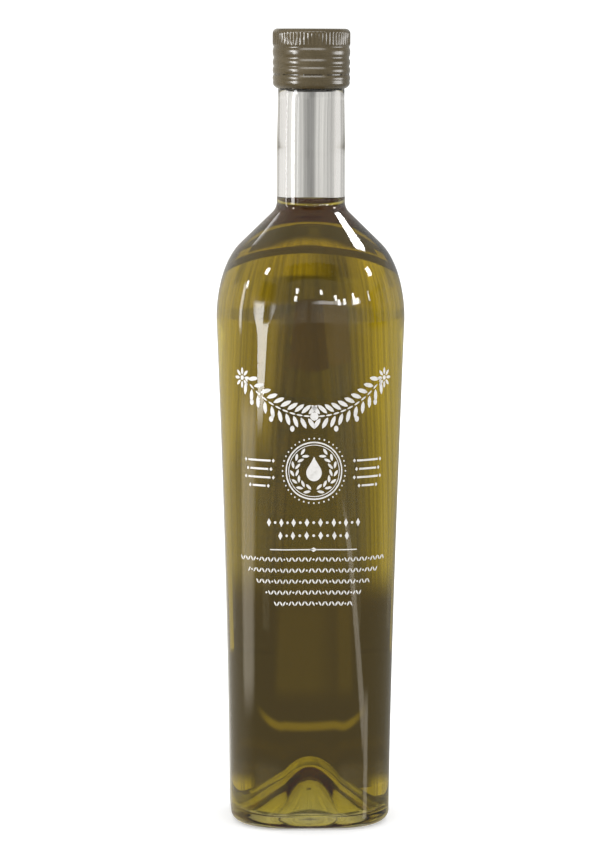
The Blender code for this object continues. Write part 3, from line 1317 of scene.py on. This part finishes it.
    def build(self, glass: bpy.types.Object) -> bpy.types.Object:
        """Make the print and lay it round the glass.

        Args:
            glass: The dressed glass, which the print lies on.

        Returns:
            The print.
        """
        sheet = self.lay_out()
        open_piece(sheet)
        half = int(self.half_width / self.cut_pitch)
        for i in range(-half, half + 1):
            bpy.ops.mesh.select_all(action="SELECT")
            bpy.ops.mesh.bisect(plane_co=(i * self.cut_pitch, 0, 0), plane_no=(1, 0, 0))
        bpy.ops.mesh.select_all(action="SELECT")
        bpy.ops.mesh.quads_convert_to_tris()
        mesh = bmesh.from_edit_mesh(sheet.data)
        for face in mesh.faces:
            face.select = face.normal.y > 0
        bmesh.update_edit_mesh(sheet.data)
        bpy.ops.mesh.flip_normals()
        bpy.ops.object.mode_set(mode="OBJECT")
        across = [vertex.co.x for vertex in sheet.data.vertices]
        bend = sheet.modifiers.new("bend", "SIMPLE_DEFORM")
        bend.deform_method = "BEND"
        bend.deform_axis = "Z"
        bend.angle = (max(across) - min(across)) / self.wrap_radius
        bpy.ops.object.modifier_apply(modifier=bend.name)
        open_piece(sheet)
        bpy.ops.transform.translate(value=(0, -self.wrap_radius, 0))
        bpy.ops.object.mode_set(mode="OBJECT")
        hug = sheet.modifiers.new("hug", "SHRINKWRAP")
        hug.target = glass
        hug.wrap_mode = "OUTSIDE_SURFACE"
        hug.offset = self.lift
        bpy.ops.object.modifier_apply(modifier=hug.name)
        coat = sheet.modifiers.new("coat", "SOLIDIFY")
        coat.thickness = self.thickness
        coat.offset = 1.0
        bpy.ops.object.modifier_apply(modifier=coat.name)
        sheet.data.materials.clear()
        sheet.data.materials.append(self.ink.material())
        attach(sheet, "root")
        return sheet


# The studio


@dataclass(frozen=True)
class LightBand:
    """Light and shade all round, for one stretch of elevations.

    Attributes:
        top: The elevation of the band's upper edge, in degrees.
        blur: The height over which that edge fades, in degrees.
        stops: Radiance at azimuths in degrees, to the right of the nearest of four directions.
        tint: The colour of its light.
    """

    top: float
    blur: float
    stops: tuple[tuple[float, float], ...]
    tint: tuple[float, float, float] = WARM


@dataclass(frozen=True)
class StudioWorld:
    """White all round for the camera, and soft fields of light and shade for the glass.

    Attributes:
        backdrop: What the camera and the matt surfaces see.
        gloss: What the glass and the cap mirror where there is no lamp.
        rear_gloss: What they mirror of the white wall behind them.
        rear: The direction in which that wall is brightest.
        turn: The azimuth of the fields of light, in degrees.
        streak_pitch: The width of the streaks in them, in degrees.
        bands: The fields of light and shade, highest first.
    """

    backdrop: tuple[float, float, float] = (1.25, 1.25, 1.25)
    gloss: tuple[float, float, float] = (0.42, 0.42, 0.40)
    rear_gloss: tuple[float, float, float] = (0.72, 0.69, 0.62)
    rear: tuple[float, float, float] = (-0.75, 0.66, 0.0)
    turn: float = -2.5
    streak_pitch: float = 1.6
    bands: tuple[LightBand, ...] = (
        LightBand(90.0, 1.0, ((-45, 0.42), (45, 0.42)), (1.0, 0.88, 0.50)),
        LightBand(13.0, 5.0, (
            (-45, 0.87), (-10, 0.87), (-3.5, 0.50), (-1, 0.28), (1, 0.28), (3.5, 0.70), (10, 0.62),
            (16, 0.50), (26, 0.58), (31, 0.85), (45, 0.87),
        ), (1.0, 0.970, 0.935)),
        LightBand(-3.3, 0.5, (
            (-45, 0.62), (-30, 0.60), (-23, 0.50), (-19, 0.34), (-15, 0.22), (-10, 0.15), (-5, 0.13),
            (-2.2, 0.19), (-0.6, 0.12), (0.5, 0.095), (7, 0.10), (10, 0.20), (13, 0.34), (17, 0.36),
            (22, 0.34), (28, 0.42), (34, 0.44), (38, 0.58), (45, 0.60),
        )),
        LightBand(-5.8, 0.8, (
            (-45, 0.55), (-30, 0.50), (-24, 0.46), (-19, 0.26), (-14, 0.16), (-8, 0.13), (-2, 0.17),
            (0, 0.12), (6, 0.10), (14, 0.15), (20, 0.24), (27, 0.27), (34, 0.30), (40, 0.38), (45, 0.50),
        )),
        LightBand(-8.6, 1.0, (
            (-45, 0.62), (-26, 0.55), (-17, 0.32), (-9, 0.17), (0, 0.13), (9, 0.18), (17, 0.36),
            (24, 0.45), (32, 0.42), (45, 0.58),
        ), (1.0, 0.91, 0.68)),
        LightBand(-17.5, 1.5, (
            (-45, 0.60), (-27, 0.64), (-21, 0.38), (-15, 0.18), (-8, 0.19), (-3, 0.30), (3, 0.42),
            (28, 0.44), (36, 0.42), (41, 0.30), (45, 0.55),
        ), (1.0, 0.89, 0.35)),
        LightBand(-31.0, 2.0, ((-45, 0.45), (45, 0.45)), (1.0, 0.84, 0.18)),
    )

    def build(self) -> None:
        """Make the world."""
        world = bpy.data.worlds.new("studio_world")
        bpy.context.scene.world = world
        world.use_nodes = True
        sheet = Sheet(world.node_tree)
        direction = sheet.node("ShaderNodeTexCoord").outputs["Generated"]
        x, y, z = sheet.node("ShaderNodeSeparateXYZ", {0: direction}).outputs
        angle = sheet.math("ADD", sheet.math("ARCTAN2", y, x), math.radians(-self.turn))
        quarter = math.radians(45.0)
        wrapped = sheet.node("ShaderNodeMath", {0: angle, 1: quarter, 2: -quarter}, operation="WRAP")
        aside = sheet.math("MULTIPLY", wrapped.outputs[0], -180.0 / math.pi)
        height = sheet.math("MULTIPLY", sheet.math("ARCSINE", z), 180.0 / math.pi)
        through = self.fields(sheet, aside, height)
        facing = sheet.node("ShaderNodeVectorMath", {0: direction, 1: self.rear}, operation="DOT_PRODUCT")
        rear = sheet.remap(facing.outputs["Value"], (0.35, 0.85), (0.0, 1.0))
        gloss = sheet.mix(rear, self.gloss, self.rear_gloss)
        path = sheet.node("ShaderNodeLightPath").outputs
        seen = sheet.mix(path["Is Glossy Ray"], self.backdrop, gloss)
        seen = sheet.mix(path["Is Transmission Ray"], seen, through)
        sheet.feed(world.node_tree.nodes["Background"], {"Color": seen})

    def fields(
        self, sheet: Sheet, aside: bpy.types.NodeSocket, height: bpy.types.NodeSocket
    ) -> bpy.types.NodeSocket:
        """Return the light through the glass.

        Args:
            sheet: The world's sheet.
            aside: The azimuth off the nearest of four directions, in degrees.
            height: The elevation in degrees.

        Returns:
            The colour.
        """
        share = sheet.math("ADD", sheet.math("DIVIDE", aside, 90.0), 0.5)
        light = self.ramp(sheet, share, self.bands[0])
        for band in self.bands[1:]:
            edge = (band.top - band.blur / 2, band.top + band.blur / 2)
            light = sheet.mix(sheet.remap(height, edge, (1.0, 0.0)), light, self.ramp(sheet, share, band))
        across = sheet.math("DIVIDE", aside, self.streak_pitch)
        up = sheet.math("DIVIDE", height, 30.0)
        place = sheet.node("ShaderNodeCombineXYZ", {0: across, 1: up}).outputs[0]
        grain = sheet.node("ShaderNodeTexNoise", {"Vector": place, "Scale": 1.0, "Detail": 3.0}).outputs[0]
        streaks = sheet.remap(grain, (0.3, 0.7), (0.72, 1.24))
        return sheet.node("ShaderNodeVectorMath", {0: light, "Scale": streaks}, operation="SCALE").outputs[0]

    def ramp(self, sheet: Sheet, share: bpy.types.NodeSocket, band: LightBand) -> bpy.types.NodeSocket:
        """Return a band's light as a ramp over the azimuth.

        Args:
            sheet: The world's sheet.
            share: The azimuth as a share of the ramp.
            band: The band.

        Returns:
            The colour of its light.
        """
        made = sheet.node("ShaderNodeValToRGB", {"Fac": share})
        elements = made.color_ramp.elements
        for i, (azimuth, radiance) in enumerate(band.stops):
            place = azimuth / 90.0 + 0.5
            if i == 0:
                element = elements[0]
            elif i < len(band.stops) - 1:
                element = elements.new(place)
            else:
                element = elements[-1]
            element.position = place
            element.color = (*(radiance * part for part in band.tint), 1.0)
        return made.outputs["Color"]


@dataclass(frozen=True)
class GlowPanel:
    """A flat lamp that faces the bottle, mirrors in gloss and lights matt surfaces.

    Attributes:
        name: Its name.
        azimuth: Its direction in degrees from the front, positive to the right.
        distance: Its distance from the bottle's axis.
        height: The height of its middle.
        rise: Its length upwards.
        low_width: The width of its lower edge.
        high_width: The width of its upper edge.
        radiance: How bright its face is.
        lean: How far its face is turned down, in degrees.
        slant: How far its upper edge stands to the left of its lower edge.
        tint: The colour of its light.
    """

    name: str
    azimuth: float
    distance: float
    height: float
    rise: float
    low_width: float
    high_width: float
    radiance: float
    lean: float = 0.0
    slant: float = 0.0
    tint: tuple[float, float, float] = (1.0, 1.0, 1.0)

    def build(self) -> bpy.types.Object:
        """Make the lamp."""
        clear_selection()
        bpy.ops.mesh.primitive_plane_add(size=1.0, location=(0, 0, 0))
        panel = bpy.context.object
        panel.name = self.name
        open_piece(panel)
        bpy.ops.mesh.subdivide(number_cuts=3)
        for row in (-0.5, -0.25, 0.0, 0.25, 0.5):
            pick(panel, lambda place: abs(place.y - row) < 0.01)
            width = self.low_width + (self.high_width - self.low_width) * (row + 0.5)
            bpy.ops.transform.resize(value=(width, 1, 1), center_override=(0, 0, 0))
            bpy.ops.transform.translate(value=(self.slant * row, 0, 0))
        bpy.ops.object.mode_set(mode="OBJECT")
        turned = math.radians(self.azimuth)
        away = Vector((math.sin(turned), -math.cos(turned), 0.0))
        panel.location = away * self.distance + Vector((0, 0, self.height))
        panel.rotation_euler = (math.radians(90.0 + self.lean), 0.0, turned + math.pi)
        panel.scale = (1.0, self.rise, 1.0)
        panel.data.materials.append(self.material())
        panel.visible_camera = False
        panel.visible_transmission = False
        panel.visible_shadow = False
        return panel

    def material(self) -> bpy.types.Material:
        """Return the lamp's light, which fades at its ends."""
        made, sheet = new_sheet(self.name)[:2]
        place = sheet.node("ShaderNodeTexCoord").outputs["Object"]
        across, along = sheet.node("ShaderNodeSeparateXYZ", {0: place}).outputs[:2]
        end = sheet.remap(sheet.math("ABSOLUTE", along), (0.36, 0.5), (1.0, 0.0))
        edge = self.high_width / 2
        across = sheet.math("SUBTRACT", across, sheet.math("MULTIPLY", along, self.slant))
        side = sheet.remap(sheet.math("ABSOLUTE", across), (0.4 * edge, edge), (1.0, 0.0))
        sheet.end_in_glow(sheet.math("MULTIPLY", end, side), self.tint, self.radiance)
        return made


@dataclass(frozen=True)
class ShadeWall:
    """A dim wall round the bottle, or flags of it, which only shows through the glass.

    Attributes:
        name: The wall's name.
        foot: The height of its lower edge.
        top: The height of its upper edge.
        fade: The height over which its upper edge fades.
        flags: The number of flags that it has, or 0 for a closed ring.
        flag_angle: The angle that a flag takes, in degrees.
        middle: The azimuth of the first flag's middle, in degrees.
        shade: Its own light.
        radius: Its distance from the bottle's axis.
        foot_fade: The height over which its lower edge fades.
        side_fade: The angle over which a flag's sides fade, in degrees.
        sag: How much lower a flag hangs in its middle than at its sides.
        sag_power: How flat that sag is in its middle.
        columns: Its faces all round.
    """

    name: str
    foot: float
    top: float
    fade: float
    flags: int = 0
    flag_angle: float = 0.0
    middle: float = 0.0
    shade: tuple[float, float, float] = (0.084, 0.070, 0.052)
    radius: float = 0.25
    foot_fade: float = 0.0
    side_fade: float = 0.0
    sag: float = 0.0
    sag_power: float = 1.6
    columns: int = 720

    def build(self) -> None:
        """Make the wall."""
        clear_selection()
        start = (0, 0, self.foot)
        bpy.ops.mesh.primitive_circle_add(vertices=self.columns, radius=self.radius, location=start)
        wall = bpy.context.object
        wall.name = self.name
        open_piece(wall)
        rise = self.top + self.sag - self.foot
        bpy.ops.mesh.extrude_edges_move(TRANSFORM_OT_translate={"value": (0, 0, rise)})
        if self.flags:
            pitch = 360.0 / self.flags

            def beside(place: Vector) -> bool:
                """Say whether a place is in a gap between two flags."""
                azimuth = math.degrees(math.atan2(place.y, place.x)) - self.middle
                return abs((azimuth + pitch / 2) % pitch - pitch / 2) > self.flag_angle / 2

            pick(wall, beside)
            bpy.ops.mesh.delete(type="VERT")
        bpy.ops.object.mode_set(mode="OBJECT")
        wall.data.materials.append(self.material())
        wall.visible_camera = False
        wall.visible_diffuse = False
        wall.visible_glossy = False
        wall.visible_shadow = False

    def material(self) -> bpy.types.Material:
        """Return its dim light, which fades out at its edges."""
        made, sheet = new_sheet(self.name)[:2]
        place = sheet.node("ShaderNodeTexCoord").outputs["Object"]
        x, y, z = sheet.node("ShaderNodeSeparateXYZ", {0: place}).outputs
        height = sheet.math("ADD", z, self.foot)
        if self.flags:
            angle = sheet.math("ADD", sheet.math("ARCTAN2", y, x), -math.radians(self.middle))
            half = math.pi / self.flags
            off = sheet.node("ShaderNodeMath", {0: angle, 1: half, 2: -half}, operation="WRAP").outputs[0]
            share = sheet.math("DIVIDE", sheet.math("ABSOLUTE", off), math.radians(self.flag_angle / 2))
            lift = sheet.math("MULTIPLY", sheet.math("POWER", share, self.sag_power), self.sag)
            height = sheet.math("SUBTRACT", height, lift)
        solid = sheet.remap(height, (self.top - self.fade, self.top), (1.0, 0.0))
        if self.foot_fade:
            low = sheet.remap(height, (self.foot, self.foot + self.foot_fade), (0.0, 1.0))
            solid = sheet.math("MULTIPLY", solid, low)
        if self.flags and self.side_fade:
            fade = 2 * self.side_fade / self.flag_angle
            solid = sheet.math("MULTIPLY", solid, sheet.remap(share, (1.0 - fade, 1.0), (1.0, 0.0)))
        sheet.end_in_glow(solid, self.shade, 1.0)
        return made


@dataclass(frozen=True)
class Studio:
    """The floor, the world, the shade and the lamps.

    Attributes:
        world: What is far round the bottle.
        walls: The dim walls that the glass and the oil show.
        floor_size: The floor's width.
        floor_glow: The floor's own light, which keeps it white.
        lamps: The lamps that the bottle mirrors.
        bulbs: The azimuth in degrees and the height of small lamps for glints in the glass.
        cap_lamps: The lamps that the cap mirrors.
        bulb_size: A small lamp's width.
        bulb_radiance: How bright it is.
    """

    world: StudioWorld = StudioWorld()
    walls: tuple[ShadeWall, ...] = (
        ShadeWall("high_shade", 0.026, 0.074, 0.022, 4, 77.0, side_fade=2.0, radius=0.251),
        ShadeWall("low_shade", -0.030, 0.032, 0.004, foot_fade=0.008),
        ShadeWall("foot_shade", -0.042, 0.0, 0.004, 1, 34.0, 88.1, radius=0.252, side_fade=6.0),
        ShadeWall(
            "pale_stripe", -0.0095, -0.0025, 0.0030, 1, 25.0, 88.1, (0.31, 0.27, 0.20), 0.248,
            foot_fade=0.0030, side_fade=9.0, sag=0.0105,
        ),
        ShadeWall(
            "pale_middle", 0.004, 0.068, 0.020, 1, 10.0, 89.0, (0.130, 0.110, 0.085), 0.249,
            foot_fade=0.012, side_fade=3.5,
        ),
        ShadeWall("far_shade", -0.094, -0.022, 0.012, radius=0.5, foot_fade=0.012),
        ShadeWall("shade_flag", 0.170, 0.196, 0.004, 1, 7.0, 86.5, (0.090, 0.070, 0.050)),
        ShadeWall("pale_flag", 0.170, 0.196, 0.004, 1, 8.0, 94.0, (0.150, 0.125, 0.090)),
    )
    floor_size: float = 6.0
    floor_glow: float = 0.34
    lamps: tuple[GlowPanel, ...] = (
        GlowPanel("left_streak", -59.5, 0.60, 0.214, 0.26, 0.07, 0.40, 11.0),
        GlowPanel("left_fill", -80.0, 0.60, 0.018, 0.214, 0.40, 0.40, 3.1, tint=(1.0, 0.93, 0.78)),
        GlowPanel("left_side", -94.0, 0.60, 0.275, 0.27, 0.05, 0.07, 7.0),
        GlowPanel("right_low", 61.0, 0.60, -0.135, 0.14, 0.13, 0.13, 2.8, tint=WARM),
        GlowPanel("right_slant", 41.0, 0.60, -0.045, 0.14, 0.16, 0.16, 2.8, slant=0.42, tint=WARM),
        GlowPanel("right_high", 125.0, 0.70, 0.965, 0.22, 0.40, 0.40, 25.0, 46.0),
        GlowPanel("left_high", -150.0, 0.70, 0.860, 0.30, 0.36, 0.36, 5.0, 46.0),
        GlowPanel("front_line", 20.0, 0.60, 0.338, 0.03, 0.50, 0.50, 6.0),
        GlowPanel("right_pair", 53.5, 0.60, 0.340, 0.05, 0.14, 0.14, 22.0),
        GlowPanel("right_tall", 73.5, 0.60, 0.355, 0.07, 0.03, 0.03, 14.0),
        GlowPanel("right_spot", 86.0, 0.60, 0.520, 0.10, 0.10, 0.10, 30.0, 27.0),
        GlowPanel("left_spot", -67.5, 0.60, 0.606, 0.10, 0.08, 0.08, 30.0, 34.0),
    )
    bulbs: tuple[tuple[float, float], ...] = (
        (-91.0, 0.401), (-19.7, 0.376), (-19.0, 0.443), (10.0, 0.425), (27.2, 0.379), (31.0, 0.340),
        (38.2, 0.345), (50.8, 0.380),
    )
    cap_lamps: tuple[GlowPanel, ...] = (
        GlowPanel("cap_left", -58.0, 0.60, 0.330, 0.34, 0.30, 0.30, 20.0),
        GlowPanel("cap_right", 84.0, 0.60, 0.270, 0.24, 0.50, 0.50, 9.0),
        GlowPanel("cap_front", 0.0, 0.60, 0.760, 0.34, 1.30, 1.30, 5.5, 37.0),
    )
    bulb_size: float = 0.05
    bulb_radiance: float = 26.0

    def build(self, bottle: Sequence[bpy.types.Object], cap: bpy.types.Object) -> None:
        """Make the studio.

        Args:
            bottle: The glass, the oil and the print, which the bottle's lamps light.
            cap: The cap, which has lamps of its own.
        """
        self.world.build()
        for wall in self.walls:
            wall.build()
        for lamp in self.lamps:
            self.light(lamp, bottle)
        for i, (azimuth, height) in enumerate(self.bulbs):
            size = self.bulb_size
            bulb = GlowPanel(f"bulb_{i}", azimuth, 0.6, height, size, size, size, self.bulb_radiance)
            self.light(bulb, bottle[:1])
        for lamp in self.cap_lamps:
            self.light(lamp, (cap,))
        clear_selection()
        bpy.ops.mesh.primitive_plane_add(size=self.floor_size, location=(0, 0, 0))
        floor = bpy.context.object
        floor.name = "studio_floor"
        material, sheet, shader = new_sheet("studio_floor")
        patches = sheet.noise(scale=3.0, detail=2.0)
        sheet.feed(shader, {
            "Base Color": sheet.mix(patches, (0.93, 0.93, 0.93), (0.95, 0.95, 0.95)),
            "Roughness": 0.9,
            "Emission Color": (1.0, 1.0, 1.0, 1.0),
            "Emission Strength": self.floor_glow,
        })
        floor.data.materials.append(material)
        floor.visible_transmission = False
        floor.visible_glossy = False

    def light(self, lamp: GlowPanel, pieces: Sequence[bpy.types.Object]) -> None:
        """Make a lamp that lights some pieces alone.

        Args:
            lamp: The lamp.
            pieces: What it lights.
        """
        lit = bpy.data.collections.new(f"lit_by_{lamp.name}")
        for piece in pieces:
            lit.objects.link(piece)
        lamp.build().light_linking.receiver_collection = lit


@dataclass(frozen=True)
class PhotoCamera:
    """The camera, fitted to the photograph's perspective.

    Attributes:
        azimuth: Its direction from the bottle's front, in degrees.
        distance: Its distance from the bottle's axis.
        height: Its height.
        aside: How far it stands to the right of the line through the axis.
        pitch: How far it looks down, in degrees.
        roll: How far it is rolled, in degrees.
        lens: Its focal length in millimetres.
    """

    azimuth: float = -2.5
    distance: float = 1.430
    height: float = 0.330
    aside: float = -0.0041
    pitch: float = 6.7
    roll: float = 0.2
    lens: float = 149.26

    def build(self) -> bpy.types.Object:
        """Make the camera and let the scene use it."""
        data = bpy.data.cameras.new("photo_camera")
        data.lens = self.lens
        data.sensor_width = 36.0
        data.clip_start, data.clip_end = 0.05, 50.0
        camera = bpy.data.objects.new("photo_camera", data)
        bpy.context.scene.collection.objects.link(camera)
        turned, down = math.radians(self.azimuth), math.radians(self.pitch)
        back = Vector((math.sin(turned), -math.cos(turned), 0.0))
        right = Vector((math.cos(turned), math.sin(turned), 0.0))
        camera.location = back * self.distance + right * self.aside + Vector((0, 0, self.height))
        forward = -back * math.cos(down) - Vector((0, 0, math.sin(down)))
        aim = forward.to_track_quat("-Z", "Y").to_matrix().to_4x4()
        roll = Matrix.Rotation(math.radians(self.roll), 4, "Z")
        camera.rotation_euler = (aim @ roll).to_euler()
        bpy.context.scene.camera = camera
        return camera


def set_light_paths() -> None:
    """Let light pass through many walls, and show colours as they are."""
    scene = bpy.context.scene
    scene.cycles.max_bounces = 32
    scene.cycles.transmission_bounces = 32
    scene.cycles.glossy_bounces = 12
    scene.view_settings.view_transform = "Standard"


def main() -> None:
    """Build the bottle piece by piece, then the studio round it."""
    logging.basicConfig(level=logging.INFO, format="%(message)s")
    PhotoCamera().build()
    glass = GlassBottle().build()
    oil = OilFill().build()
    cap = ScrewCap().build()
    ink = FrontPrint().build(glass)
    for piece in (glass, oil, cap, ink):
        LOG.info("%s: %d faces", piece.name, len(piece.data.polygons))
    Studio().build((glass, oil, ink), cap)
    set_light_paths()


if __name__ == "__main__":
    main()
